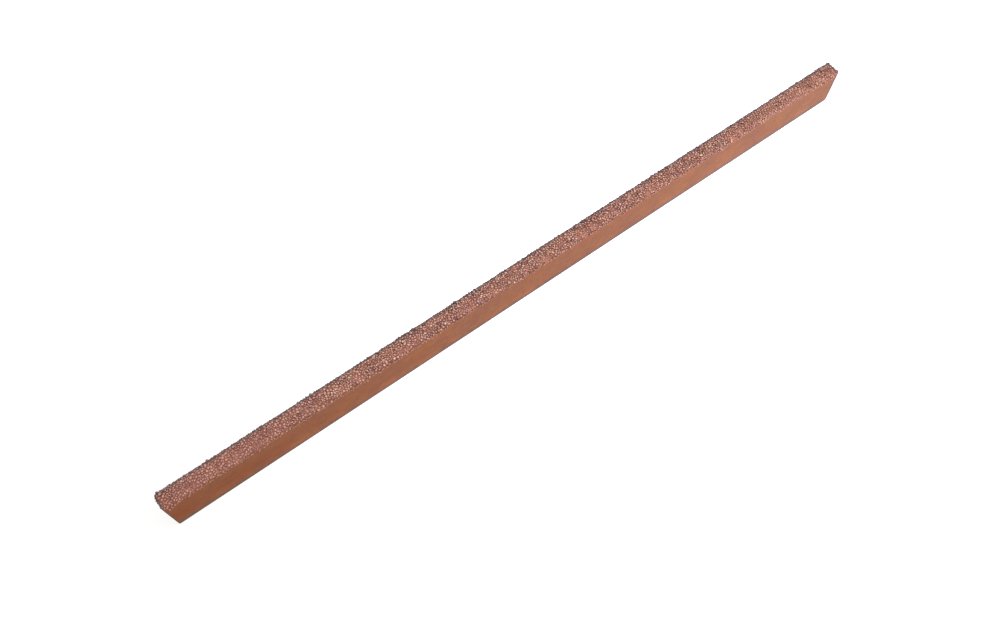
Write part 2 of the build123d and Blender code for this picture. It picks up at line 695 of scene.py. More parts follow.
@dataclass
class BrazeBed:
    """The copper pool on the working edge, which climbs each grain's foot.

    Attributes:
        sizes: The stick's sizes.
        seats: Where the grains sit.
        across_cells: How many cells cross the flat top.
        side_cells: How many cells go down each lap.
        first_cuts: How many cuts cross the stick at first.
        second_cuts: How many cuts then cross each of the parts.
        arris_steps: The steps of each rounded arris and corner.
        corner: The radius of the four upright corners.
        smooth_below: The angle below which neighbouring faces look smooth.
        climb: How high the braze climbs a grain, as a share of the grain's size.
        climb_from: How far from the grain's middle it starts to fall, as such a share.
        climb_reach: How far out from there it falls, in metres.
        climb_fall: How steeply it falls.
        search: How far away a grain counts, in metres.
        border: How far up from the laps' border the relief grows, in metres.
        ripple: The height of the ripples, in metres.
        ripple_rate: The rate of the broad ripples, in waves per metre.
        fine_ripple_rate: The rate of the fine ones.
    """

    sizes: StickSizes
    seats: list[Seat]
    across_cells: int = 24
    side_cells: int = 5
    first_cuts: int = 100
    second_cuts: int = 10
    arris_steps: int = 3
    corner: float = 0.3 * MM
    smooth_below: float = math.radians(50)
    climb: float = 0.09
    climb_reach: float = 0.30 * MM
    climb_fall: float = 3.0
    climb_from: float = 0.42
    search: float = 0.9 * MM
    border: float = 0.4 * MM
    ripple: float = 0.035 * MM
    ripple_rate: float = 2600.0
    fine_ripple_rate: float = 7000.0

    def build(self) -> bpy.types.Object:
        """Makes the bed: a channel over the bar's top, gridded and then raised at the grains.

        Returns:
            The bed's object.
        """
        bed = self.hollow_channel()
        self.round_arrises(bed)
        self.grid(bed)
        self.raise_at_grains(bed)
        deselect_all()
        bed.select_set(True)
        bpy.context.view_layer.objects.active = bed
        bpy.ops.object.shade_smooth_by_angle(angle=self.smooth_below)
        return bed

    def hollow_channel(self) -> bpy.types.Object:
        """Makes the plain channel that fits over the steel, open below.

        Returns:
            The channel's object, active.
        """
        s = self.sizes
        low = Vector((-s.end_x, -s.side_y, s.lap_z))
        channel = add_block("braze_bed_pool", low, Vector((s.end_x, s.side_y, s.bed_z)))
        for face in channel.data.polygons:
            face.select = face.normal.z < -0.9
        bpy.context.tool_settings.mesh_select_mode = (False, False, True)
        bpy.ops.object.mode_set(mode="EDIT")
        bpy.ops.mesh.inset(thickness=s.side_y - s.steel_side_y, depth=0)
        bpy.ops.mesh.extrude_region_move(
            TRANSFORM_OT_translate={"value": (0, 0, s.steel_top_z - s.lap_z)}
        )
        bpy.ops.object.mode_set(mode="OBJECT")
        return channel

    def round_arrises(self, bed: bpy.types.Object) -> None:
        """Rounds the four upright corners and then the outer upper arrises.

        Args:
            bed: The plain channel.
        """
        s = self.sizes

        def is_corner(a: Vector, b: Vector) -> bool:
            """True for the four outer upright edges."""
            at_end = min(abs(a.x), abs(b.x)) > s.end_x - TOUCH
            at_side = min(abs(a.y), abs(b.y)) > s.side_y - TOUCH
            return runs_along(2, a, b) and at_end and at_side

        def is_upper_arris(a: Vector, b: Vector) -> bool:
            """True for the edges round the bed's top."""
            return min(a.z, b.z) > s.bed_z - TOUCH

        for wanted, offset in ((is_corner, self.corner), (is_upper_arris, s.arris)):
            select_edges(bed, wanted)
            bpy.ops.object.mode_set(mode="EDIT")
            bpy.ops.mesh.bevel(offset=offset, segments=self.arris_steps, affect="EDGES")
            bpy.ops.object.mode_set(mode="OBJECT")

    def grid(self, bed: bpy.types.Object) -> None:
        """Cuts the outer faces into small cells, about 0.25 mm each way.

        Args:
            bed: The rounded channel.
        """
        s = self.sizes
        flat_width = 2 * (s.side_y - s.arris) - TOUCH
        least_run = 0.8 * 2 * s.end_x / (self.first_cuts + 1)

        def is_cross_edge(a: Vector, b: Vector) -> bool:
            """True for the outer edges that cross the whole flat top."""
            outside = min(a.z, b.z) > s.steel_top_z + TOUCH or abs(a.x) > s.steel_end_x + TOUCH
            return outside and runs_along(1, a, b) and abs(a.y - b.y) > flat_width

        def is_side_edge(a: Vector, b: Vector) -> bool:
            """True for the outer upright edges."""
            beside = max(abs(a.y), abs(b.y)) > s.steel_side_y + TOUCH
            return (beside or abs(a.x) > s.steel_end_x + TOUCH) and runs_along(2, a, b)

        def is_long_edge(a: Vector, b: Vector) -> bool:
            """True for the edges along the whole stick."""
            return runs_along(0, a, b) and abs(a.x - b.x) > s.end_x

        def is_first_run(a: Vector, b: Vector) -> bool:
            """True for the runs that the first cuts have left."""
            return runs_along(0, a, b) and abs(a.x - b.x) > least_run

        cut_edges(bed, is_cross_edge, self.across_cells - 1)
        cut_edges(bed, is_side_edge, self.side_cells - 1)
        cut_edges(bed, is_long_edge, self.first_cuts)
        cut_edges(bed, is_first_run, self.second_cuts)

    def is_inside(self, place: Vector) -> bool:
        """True for a place on the channel's inner faces, against the steel."""
        s = self.sizes
        beside = abs(place.x) < s.steel_end_x + TOUCH and abs(place.y) < s.steel_side_y + TOUCH
        return beside and place.z < s.steel_top_z + TOUCH

    def lift_at(self, place: Vector, tree: KDTree) -> float:
        """How far the braze climbs the grains near a place.

        Args:
            place: The place.
            tree: The seats' points.

        Returns:
            The height in metres.
        """
        lift = 0.0
        for _, k, distance in tree.find_range(place, self.search):
            size = self.seats[k].size
            beyond = max(0.0, distance - self.climb_from * size) / self.climb_reach
            lift = max(lift, self.climb * size * math.exp(-self.climb_fall * beyond**2))
        return lift

    def raise_at_grains(self, bed: bpy.types.Object) -> None:
        """Raises the outer surface round each grain, and not at the border of the laps.

        Args:
            bed: The gridded channel.
        """
        tree = KDTree(len(self.seats))
        for k, seat in enumerate(self.seats):
            tree.insert(seat.point, k)
        tree.balance()
        normals = [Vector(n.vector) for n in bed.data.vertex_normals]
        for vertex, normal in zip(bed.data.vertices, normals):
            place = vertex.co.copy()
            fade = min(1.0, (place.z - self.sizes.lap_z) / self.border)
            if fade <= 0 or self.is_inside(place):
                continue
            wave = noise.noise(place * self.ripple_rate)
            wave += 0.5 * noise.noise(place * self.fine_ripple_rate)
            vertex.co += normal * fade * (self.lift_at(place, tree) + self.ripple * wave)

    def dress(self, bed: bpy.types.Object, finish: bpy.types.Material) -> None:
        """Gives the bed its finish and its place in the frame.

        Args:
            bed: The bed's object.
            finish: Its material.
        """
        bed.data.materials.append(finish)
        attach(bed, ROOT)
        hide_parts("braze_bed")
        log.info("%s: %d cells", bed.name, len(bed.data.polygons))


# ------------------------------------------------------------------- node tree helpers


Colour = tuple[float, float, float]
Socket = bpy.types.NodeSocket
Value = Socket | float


class Tree:
    """A node tree under construction, for a material or for a shared group."""

    def __init__(self, tree: bpy.types.NodeTree) -> None:
        """Starts on an empty tree."""
        self.tree = tree
        self.tree.nodes.clear()

    def link(self, value: Socket, socket: Socket) -> None:
        """Links one socket to another."""
        self.tree.links.new(value, socket)

    def node(self, kind: str, inputs: dict | None = None, **settings: object) -> bpy.types.Node:
        """Adds a node.

        Args:
            kind: The node's type name without its ShaderNode prefix.
            inputs: What goes into its sockets, by name or number: a value or a socket.
            settings: The node's own properties.

        Returns:
            The node.
        """
        made = self.tree.nodes.new(f"ShaderNode{kind}")
        for name, value in settings.items():
            setattr(made, name, value)
        for key, value in (inputs or {}).items():
            if isinstance(value, Socket):
                self.link(value, made.inputs[key])
            else:
                made.inputs[key].default_value = value
        return made

    def math(self, operation: str, *values: Value) -> Socket:
        """Adds a Math node and returns its output."""
        return self.node("Math", dict(enumerate(values)), operation=operation).outputs[0]

    def times(self, *values: Value) -> Socket:
        """Multiplies two values or more, from the first to the last."""
        return functools.reduce(functools.partial(self.math, "MULTIPLY"), values)

    def split(self, place: Socket) -> bpy.types.NodeOutputs:
        """Splits a place into its x, y and z."""
        return self.node("SeparateXYZ", {0: place}).outputs

    def remap(self, value: Value, low: float, high: float, start: float, end: float) -> Socket:
        """Adds a clamped Map Range node, from low..high to start..end."""
        return self.node("MapRange", {0: value, 1: low, 2: high, 3: start, 4: end}).outputs[0]

    def blend(self, share: Value, first: Socket | Colour, second: Socket | Colour) -> Socket:
        """Adds a colour Mix node.

        Args:
            share: How much of the second colour shows.
            first: The first colour.
            second: The second colour.

        Returns:
            The mixed colour.
        """
        mix = self.node("Mix", {0: share}, data_type="RGBA")
        for key, value in ((6, first), (7, second)):
            if isinstance(value, Socket):
                self.link(value, mix.inputs[key])
            else:
                mix.inputs[key].default_value = (*value, 1.0)
        return mix.outputs[2]

    def noise(
        self, place: Socket, scale: Value, detail: float = 3.0, roughness: float = 0.55
    ) -> Socket:
        """Adds a Noise texture and returns its value."""
        inputs = {"Vector": place, "Scale": scale, "Detail": detail, "Roughness": roughness}
        return self.node("TexNoise", inputs).outputs["Fac"]

    def ramp(self, value: Value, stops: tuple[tuple[float, Colour], ...]) -> Socket:
        """Adds a Color Ramp.

        Args:
            value: What it reads, from 0 to 1.
            stops: Its places and their colours.

        Returns:
            The colour.
        """
        ramp = self.node("ValToRGB", {0: value})
        elements = ramp.color_ramp.elements
        while len(elements) < len(stops):
            elements.new(1.0)
        for element, (place, colour) in zip(elements, stops):
            element.position = place
            element.color = (*colour, 1.0)
        return ramp.outputs["Color"]


VECTOR = "NodeSocketVector"
FLOAT = "NodeSocketFloat"


class EffectGroup:
    """A node group that several finishes use, with a place and values in and masks out."""

    def __init__(self, name: str, outputs: tuple[str, ...], **inputs: float) -> None:
        """Makes the group and its sockets.

        Args:
            name: The group's name.
            outputs: Its outputs' names.
            inputs: Its values, with an underscore for each blank in a name.
        """
        self.group = bpy.data.node_groups.new(name, "ShaderNodeTree")
        sockets = self.group.interface
        sockets.new_socket(name="Place", in_out="INPUT", socket_type=VECTOR)
        for key, value in inputs.items():
            label = key.replace("_", " ")
            socket = sockets.new_socket(name=label, in_out="INPUT", socket_type=FLOAT)
            socket.default_value = value
        for label in outputs:
            sockets.new_socket(name=label, in_out="OUTPUT", socket_type=FLOAT)
        self.tree = Tree(self.group)
        self.given = self.group.nodes.new("NodeGroupInput").outputs
        self.result = self.group.nodes.new("NodeGroupOutput").inputs
        self.place = self.given["Place"]

    def put_out(self, **values: Socket) -> bpy.types.NodeTree:
        """Feeds the group's outputs and hands the group over.

        Args:
            values: What each output gives.

        Returns:
            The node group.
        """
        for name, value in values.items():
            self.tree.link(value, self.result[name])
        return self.group


@dataclass(frozen=True)
class Tarnish:
    """Broad clouds, small spots and fine grain in copper.

    Attributes:
        clouds: The values of the noise where a cloud starts and where it is full.
        spots: The same for the spots.
        grain_rate: The rate of the fine grain, in waves per metre.
    """

    clouds: tuple[float, float] = (0.32, 0.68)
    spots: tuple[float, float] = (0.35, 0.7)
    grain_rate: float = 5200.0

    def build(self) -> bpy.types.NodeTree:
        """Builds the node group, in which each finish sets the clouds' and spots' scales.

        Returns:
            The node group.
        """
        outputs = ("Clouds", "Spots", "Grain")
        effect = EffectGroup("tarnish", outputs, Cloud_Scale=60.0, Spot_Scale=500.0)
        tree, place = effect.tree, effect.place
        clouds = tree.noise(place, effect.given["Cloud Scale"], 4.0, 0.5)
        spots = tree.noise(place, effect.given["Spot Scale"], 2.0, 0.5)
        return effect.put_out(
            Clouds=tree.remap(clouds, *self.clouds, 0, 1),
            Spots=tree.remap(spots, *self.spots, 0, 1),
            Grain=tree.noise(place, self.grain_rate, 2.0),
        )


@dataclass(frozen=True)
class DrawnLines:
    """Fine lines along X, as on drawn bar, and a few scratches a little askew to them.

    Attributes:
        line_rate: The lines' waves per metre along each axis.
        scratch_rate: The scratches' waves per metre along each axis.
        askew: The turn of the scratches about Y, in radians.
        scratched: The values of the noise where a scratch starts and where it is full.
    """

    line_rate: tuple[float, float, float] = (28.0, 2600.0, 2600.0)
    scratch_rate: tuple[float, float, float] = (70.0, 900.0, 4200.0)
    askew: float = 0.16
    scratched: tuple[float, float] = (0.66, 0.72)

    def build(self) -> bpy.types.NodeTree:
        """Builds the node group.

        Returns:
            The node group.
        """
        effect = EffectGroup("drawn_lines", ("Lines", "Scratches"), Fineness=1.0)
        tree = effect.tree
        scaled = tree.node("VectorMath", {0: effect.place}, operation="SCALE")
        tree.link(effect.given["Fineness"], scaled.inputs["Scale"])
        place = scaled.outputs[0]
        along = tree.node("Mapping", {"Vector": place, "Scale": self.line_rate})
        turned = {"Vector": place, "Rotation": (0.0, self.askew, 0.0), "Scale": self.scratch_rate}
        askew = tree.node("Mapping", turned)
        scratches = tree.noise(askew.outputs[0], 1.0, 1.0, 0.4)
        return effect.put_out(
            Lines=tree.noise(along.outputs[0], 1.0, 3.0, 0.6),
            Scratches=tree.remap(scratches, *self.scratched, 0, 1),
        )


def distance_from_end(tree: Tree, x: Socket, end_x: float, left: float, right: float) -> Socket:
    """Works out how far a point is from the nearer end, stretched for each half of the stick.

    Args:
        tree: The tree that gets the nodes.
        x: The point's place along the stick.
        end_x: Half the stick's length.
        left: The stretch on the left half.
        right: The stretch on the right half.

    Returns:
        The stretched distance.
    """
    from_end = tree.math("SUBTRACT", end_x, tree.math("ABSOLUTE", x))
    return tree.times(from_end, tree.remap(x, -MM, MM, left, right))


@dataclass(frozen=True)
class ArrisStain:
    """How near a point is to the bar's lower and end arrises, as the mask of a painted shade: a
    dark line that stands in for the contact shadow at the foot and the dark outline of the ends.

    Attributes:
        left_stretch: How much narrower the painted shade is at the left end than along the base.
        right_stretch: The same at the right end.
        upright_stretch: The same across an end, away from its upright arrises.
        widening: How much wider the painted shade is at the right than at the left.
        ragged_rate: The rate at which its width varies, in waves per metre.
        ragged: What its distance is multiplied by where that noise is low and high.
        stained: The shares of the reach where the painted shade is full and where it ends.
        low_full: The height up to which a point is low, in metres.
        low_none: The height from which it isn't.
    """

    left_stretch: float = 2.6
    right_stretch: float = 1.9
    upright_stretch: float = 3.0
    widening: float = 2.1
    ragged_rate: float = 330.0
    ragged: tuple[float, float] = (1.75, 0.55)
    stained: tuple[float, float] = (0.2, 1.4)
    low_full: float = 1.4 * MM
    low_none: float = 6.2 * MM

    def build(self, sizes: StickSizes) -> bpy.types.NodeTree:
        """Builds the node group.

        Args:
            sizes: The stick's sizes.

        Returns:
            The node group.
        """
        effect = EffectGroup("arris_stain", ("Stain", "Low"), Reach=0.5 * MM)
        tree = effect.tree
        x, y, z = tree.split(effect.place)
        from_side = tree.math("SUBTRACT", sizes.side_y, tree.math("ABSOLUTE", y))
        stretches = (self.left_stretch, self.right_stretch)
        from_end = distance_from_end(tree, x, sizes.end_x, *stretches)
        base = tree.math("ADD", tree.math("MINIMUM", from_side, from_end), z)
        upright = tree.math("ADD", tree.times(from_side, self.upright_stretch), from_end)
        widening = tree.remap(x, -sizes.end_x, sizes.end_x, 1.0, self.widening)
        nearest = tree.math("DIVIDE", tree.math("MINIMUM", base, upright), widening)
        ragged = tree.noise(effect.place, self.ragged_rate, 5.0)
        nearest = tree.times(nearest, tree.remap(ragged, *NOISE_SPAN, *self.ragged))
        near = tree.math("DIVIDE", nearest, effect.given["Reach"])
        low = tree.node("MapRange", {0: z, 1: self.low_full, 2: self.low_none, 3: 1.0, 4: 0.0})
        low.interpolation_type = "SMOOTHSTEP"
        # The first mask is the painted shade along the bottom arris and the upright end arrises;
        # the second only says how low a point is.
        return effect.put_out(Stain=tree.remap(near, *self.stained, 1, 0), Low=low.outputs[0])


@dataclass(frozen=True)
class EndFlood:
    """How much more braze has run between the grains near each end.

    Attributes:
        left_start: How far from the left end the flood starts, in metres.
        left_most: How strong it is at that end.
        right_start: How far from the right end it starts, in metres.
        right_most: How strong it is at that end.
        full: How far from either end it is at its strongest, in metres.
    """

    left_start: float = 72 * MM
    left_most: float = 0.62
    right_start: float = 65 * MM
    right_most: float = 0.60
    full: float = 22 * MM

    def build(self, sizes: StickSizes) -> bpy.types.NodeTree:
        """Builds the node group.

        Args:
            sizes: The stick's sizes.

        Returns:
            The node group.
        """
        effect = EffectGroup("end_flood", ("Flood",))
        tree = effect.tree
        x = tree.split(effect.place)[0]
        end = sizes.end_x
        left = tree.remap(x, self.left_start - end, self.full - end, 0, self.left_most)
        right = tree.remap(x, end - self.right_start, end - self.full, 0, self.right_most)
        return effect.put_out(Flood=tree.math("MAXIMUM", left, right))


@dataclass(frozen=True)
class Smoke:
    """Painted shade on the back arris and round the tips, and a pale painted highlight on the
    back part of the top.

    Attributes:
        back_band: The distances from the back where the painted shade starts and where it is
            full.
        end_band: The distances from an end where it is full and where it stops.
        ash_band: The distances from the back where the painted highlight starts and where it is
            full.
        depth_band: The depths below the bed's top where the painted shade is faint and full.
        left_stretch: How much narrower the painted shade is at the left end than end_band says.
        right_stretch: The same at the right end.
        most: The strength of the full painted shade.
        most_ash: The strength of the full painted highlight.
        below: The share of the painted shade that is left where it is faint.
    """

    back_band: tuple[float, float] = (1.25 * MM, 0.3 * MM)
    end_band: tuple[float, float] = (0.6 * MM, 1.8 * MM)
    ash_band: tuple[float, float] = (2.6 * MM, 1.0 * MM)
    depth_band: tuple[float, float] = (0.8 * MM, 0.2 * MM)
    left_stretch: float = 2.4
    right_stretch: float = 1.0
    most: float = 0.92
    most_ash: float = 0.42
    below: float = 0.25

    def build(self, sizes: StickSizes) -> bpy.types.NodeTree:
        """Builds the node group.

        Args:
            sizes: The stick's sizes.

        Returns:
            The node group.
        """
        effect = EffectGroup("smoke", ("Soot", "Ash"))
        tree = effect.tree
        x, y, z = tree.split(effect.place)
        stretches = (self.left_stretch, self.right_stretch)
        from_end = distance_from_end(tree, x, sizes.end_x, *stretches)
        back_from, back_to = (sizes.side_y - inset for inset in self.back_band)
        ash_from, ash_to = (sizes.side_y - inset for inset in self.ash_band)
        low, high = (sizes.bed_z - drop for drop in self.depth_band)
        # Painted shade on the back arris and round the tips, and a pale painted highlight on the
        # back part of the top.
        back = tree.remap(y, back_from, back_to, 0, self.most)
        ends = tree.remap(from_end, *self.end_band, self.most, 0)
        on_top = tree.remap(z, low, high, self.below, 1)
        return effect.put_out(
            Soot=tree.times(tree.math("MAXIMUM", back, ends), on_top),
            Ash=tree.remap(y, ash_from, ash_to, 0, self.most_ash),
        )


@dataclass(frozen=True)
class Effects:
    """The shared effects, built once."""

    tarnish: bpy.types.NodeTree
    drawn_lines: bpy.types.NodeTree
    arris_stain: bpy.types.NodeTree
    end_flood: bpy.types.NodeTree
    smoke: bpy.types.NodeTree

    @classmethod
    def build(cls, sizes: StickSizes) -> "Effects":
        """Builds every shared effect.

        Args:
            sizes: The stick's sizes.

        Returns:
            The effects.
        """
        return cls(
            tarnish=Tarnish().build(),
            drawn_lines=DrawnLines().build(),
            arris_stain=ArrisStain().build(sizes),
            end_flood=EndFlood().build(sizes),
            smoke=Smoke().build(sizes),
        )


# ------------------------------------------------------------------------- finishes


class Surface:
    """A material with one shader, fed through named sockets."""

    def __init__(self, name: str, metallic: float, roughness: float) -> None:
        """Starts a material on an empty tree.

        Args:
            name: The material's name.
            metallic: The shader's constant Metallic.
            roughness: Its Roughness, unless a pattern is linked to it.
        """
        self.material = bpy.data.materials.new(name)
        self.material.use_nodes = True
        self.tree = Tree(self.material.node_tree)
        self.shader = self.tree.node("BsdfPrincipled")
        self.shader.inputs["Metallic"].default_value = metallic
        self.shader.inputs["Roughness"].default_value = roughness
        self.tree.node("OutputMaterial", {0: self.shader.outputs[0]})
        self.place = self.tree.node("TexCoord").outputs["Object"]

    def feed(self, name: str, value: Socket) -> None:
        """Links a pattern to the shader's socket of that name."""
        self.tree.link(value, self.shader.inputs[name])

    def tint_edge(self, colour: Colour) -> None:
        """Sets the colour that the metal takes at a grazing angle."""
        self.shader.inputs["Specular Tint"].default_value = (*colour, 1.0)

    def effect(self, group: bpy.types.NodeTree, **inputs: float) -> bpy.types.NodeOutputs:
        """Places a shared effect with its own values.

        Args:
            group: The effect.
            inputs: Its values, with an underscore for each blank in a name.

        Returns:
            The group node's outputs.
        """
        made = self.tree.node("Group", node_tree=group)
        self.tree.link(self.place, made.inputs["Place"])
        for name, value in inputs.items():
            made.inputs[name.replace("_", " ")].default_value = value
        return made.outputs

    def emboss(
        self, height: Socket, depth: float, strength: float, under: Socket | None = None
    ) -> Socket:
        """Adds a Bump node.

        Args:
            height: The pattern, from 0 to 1.
            depth: What a full step of it stands for, in metres.
            strength: The share of the bump that shows.
            under: The normal that it goes on top of, if any.

        Returns:
            The bumped normal.
        """
        bump = self.tree.node("Bump", {"Height": height, "Distance": depth, "Strength": strength})
        if under is not None:
            self.tree.link(under, bump.inputs["Normal"])
        return bump.outputs["Normal"]


@dataclass(frozen=True)
class CopperFilmFinish:
    """The satin copper coat that furnace brazing leaves on the bar's sides.

    Attributes:
        body: The copper's colour.
        dull: Its colour in the tarnish's clouds.
        warm: The warmer, lighter colour low on the sides: partly the film's own redder patches,
            partly painted bounce light from the floor.
        bright: The colour of the drawn lines and scratches.
        spot: The colour of the spots.
        rust: The rust-red colour of the oxide at the left.
        stain: The colour of the painted shade along the bottom arris and the upright end arrises.
        edge_tint: The colour that the metal takes at a grazing angle.
        warm_most: The strength of the warm colour, outside the clouds and in them.
        stain_reach: The painted shade's width, in metres.
        stain_most: The painted shade's strength at the left and at the right end.
        rust_most: The oxide's strength at the left end.
        rust_reach: Where it stops, as a share of the left half from the middle.
        rust_clouds: The clouds' values where it starts and where it is full.
        rust_foot: The heights where it starts and where it is full, in metres.
        rust_fade: The heights between which it fades, in metres.
        rust_above: The share of it that is left above them.
        spot_most: The strength of the spots.
        lined: The values of the drawn lines where one starts and where it is full.
        line_most: The strength of the lines' colour.
        scratch_most: The strength of the scratches' colour.
        roughness: The roughness outside the clouds and in them.
        line_drag: How much the lines change the roughness, either way.
        line_relief: The lines' depth, in metres.
        cloud_relief: The clouds' depth, in metres.
        grain_relief: The fine grain's depth, in metres.
    """

    body: Colour = (0.266, 0.094, 0.039)
    dull: Colour = (0.243, 0.100, 0.060)
    warm: Colour = (0.360, 0.120, 0.060)
    bright: Colour = (0.42, 0.19, 0.12)
    spot: Colour = (0.205, 0.074, 0.042)
    rust: Colour = (0.285, 0.070, 0.018)
    stain: Colour = (0.125, 0.092, 0.078)
    edge_tint: Colour = (0.68, 0.59, 0.52)
    warm_most: tuple[float, float] = (0.9, 0.25)
    stain_reach: float = 1.65 * MM
    stain_most: tuple[float, float] = (0.88, 0.74)
    rust_most: float = 0.8
    rust_reach: float = 0.35
    rust_clouds: tuple[float, float] = (0.15, 0.75)
    rust_foot: tuple[float, float] = (2.6 * MM, 5.0 * MM)
    rust_fade: tuple[float, float] = (7.0 * MM, 13.0 * MM)
    rust_above: float = 0.3
    spot_most: float = 0.68
    lined: tuple[float, float] = (0.35, 0.7)
    line_most: float = 0.12
    scratch_most: float = 0.18
    roughness: tuple[float, float] = (0.40, 0.52)
    line_drag: float = 0.04
    line_relief: float = 0.008 * MM
    cloud_relief: float = 0.06 * MM
    grain_relief: float = 0.006 * MM

    def make(self, effects: Effects, sizes: StickSizes) -> bpy.types.Material:
        """Makes the finish.

        Args:
            effects: The shared effects.
            sizes: The stick's sizes.

        Returns:
            The material.
        """
        s = Surface("copper_film_satin", metallic=0.95, roughness=0.45)
        s.tint_edge(self.edge_tint)
        tree, end = s.tree, sizes.end_x
        tarnish = s.effect(effects.tarnish, Cloud_Scale=85.0, Spot_Scale=500.0)
        drawn = s.effect(effects.drawn_lines, Fineness=1.0)
        arris = s.effect(effects.arris_stain, Reach=self.stain_reach)
        clouds, lines = tarnish["Clouds"], drawn["Lines"]
        along, _, up = tree.split(s.place)
        colour = tree.blend(clouds, self.body, self.dull)
        # Lighter, warmer copper low on the sides: partly the film's own redder patches, partly
        # painted bounce light from the floor.
        warm_share = tree.times(arris["Low"], tree.remap(clouds, 0, 1, *self.warm_most))
        colour = tree.blend(warm_share, colour, self.warm)
        rust_share = tree.times(
            tree.remap(along, -end, -self.rust_reach * end, self.rust_most, 0.0),
            tree.remap(clouds, *self.rust_clouds, 0, 1),
            tree.remap(up, *self.rust_foot, 0, 1),
            tree.remap(up, *self.rust_fade, 1, self.rust_above),
        )
        colour = tree.blend(rust_share, colour, self.rust)
        colour = tree.blend(tree.times(tarnish["Spots"], self.spot_most), colour, self.spot)
        line_share = tree.remap(lines, *self.lined, 0, self.line_most)
        colour = tree.blend(line_share, colour, self.bright)
        scratched = tree.times(drawn["Scratches"], self.scratch_most)
        colour = tree.blend(scratched, colour, self.bright)
        # Painted shade: a dark grey-brown line along the bottom arris and the upright end
        # arrises, in place of the contact shadow and the dark outline there.
        stained = tree.times(arris["Stain"], tree.remap(along, -end, end, *self.stain_most))
        s.feed("Base Color", tree.blend(stained, colour, self.stain))
        drag = tree.remap(lines, *NOISE_SPAN, -self.line_drag, self.line_drag)
        s.feed("Roughness", tree.math("ADD", tree.remap(clouds, 0, 1, *self.roughness), drag))
        normal = s.emboss(lines, self.line_relief, 0.5)
        normal = s.emboss(clouds, self.cloud_relief, 0.5, normal)
        s.feed("Normal", s.emboss(tarnish["Grain"], self.grain_relief, 0.5, normal))
        return s.material


@dataclass(frozen=True)
class BrazeFinish:
    """The duller braze between the grains, which turns to the film's look at its border.

    Attributes:
        deep: The braze's colour outside the tarnish's clouds.
        shoulder: Its colour in the clouds.
        flooded: Its colour where more of it has run, near the ends.
        film: Its colour at its border.
        soot: The colour of the painted shade on the back arris and round the tips.
        edge_tint: The colour that the metal takes at a grazing angle.
        border: The heights over the border where the film's colour is full and where it ends.
        border_rate: The rate at which those heights vary, in waves per metre.
        border_swing: How much they vary, in metres.
        soot_most: The strength of the painted shade.
        roughness: The roughness outside the spots and in them.
        spot_relief: The spots' depth, in metres.
        grain_relief: The fine grain's depth, in metres.
    """

    deep: Colour = (0.10, 0.038, 0.030)
    shoulder: Colour = (0.26, 0.105, 0.070)
    flooded: Colour = (0.270, 0.116, 0.088)
    film: Colour = (0.278, 0.108, 0.058)
    soot: Colour = (0.085, 0.070, 0.064)
    edge_tint: Colour = (0.68, 0.59, 0.52)
    border: tuple[float, float] = (0.45 * MM, 0.95 * MM)
    border_rate: float = 700.0
    border_swing: float = 0.5 * MM
    soot_most: float = 0.55
    roughness: tuple[float, float] = (0.38, 0.6)
    spot_relief: float = 0.03 * MM
    grain_relief: float = 0.01 * MM

    def make(self, effects: Effects, sizes: StickSizes) -> bpy.types.Material:
        """Makes the finish.

        Args:
            effects: The shared effects.
            sizes: The stick's sizes.

        Returns:
            The material.
        """
        s = Surface("braze_bed_copper", metallic=0.95, roughness=0.5)
        s.tint_edge(self.edge_tint)
        tree = s.tree
        tarnish = s.effect(effects.tarnish, Cloud_Scale=320.0, Spot_Scale=1500.0)
        spots = tarnish["Spots"]
        colour = tree.blend(tarnish["Clouds"], self.deep, self.shoulder)
        colour = tree.blend(s.effect(effects.end_flood)["Flood"], colour, self.flooded)
        ragged = tree.times(tree.noise(s.place, self.border_rate, 3.0), self.border_swing)
        height = tree.math("ADD", tree.split(s.place)[2], ragged)
        low, high = (sizes.lap_z + rise for rise in self.border)
        colour = tree.blend(tree.remap(height, low, high, 1, 0), colour, self.film)
        # Painted shade on the back arris and round the tips.
        soot_share = tree.times(s.effect(effects.smoke)["Soot"], self.soot_most)
        s.feed("Base Color", tree.blend(soot_share, colour, self.soot))
        s.feed("Roughness", tree.remap(spots, 0, 1, *self.roughness))
        normal = s.emboss(spots, self.spot_relief, 0.6)
        s.feed("Normal", s.emboss(tarnish["Grain"], self.grain_relief, 0.5, normal))
        return s.material


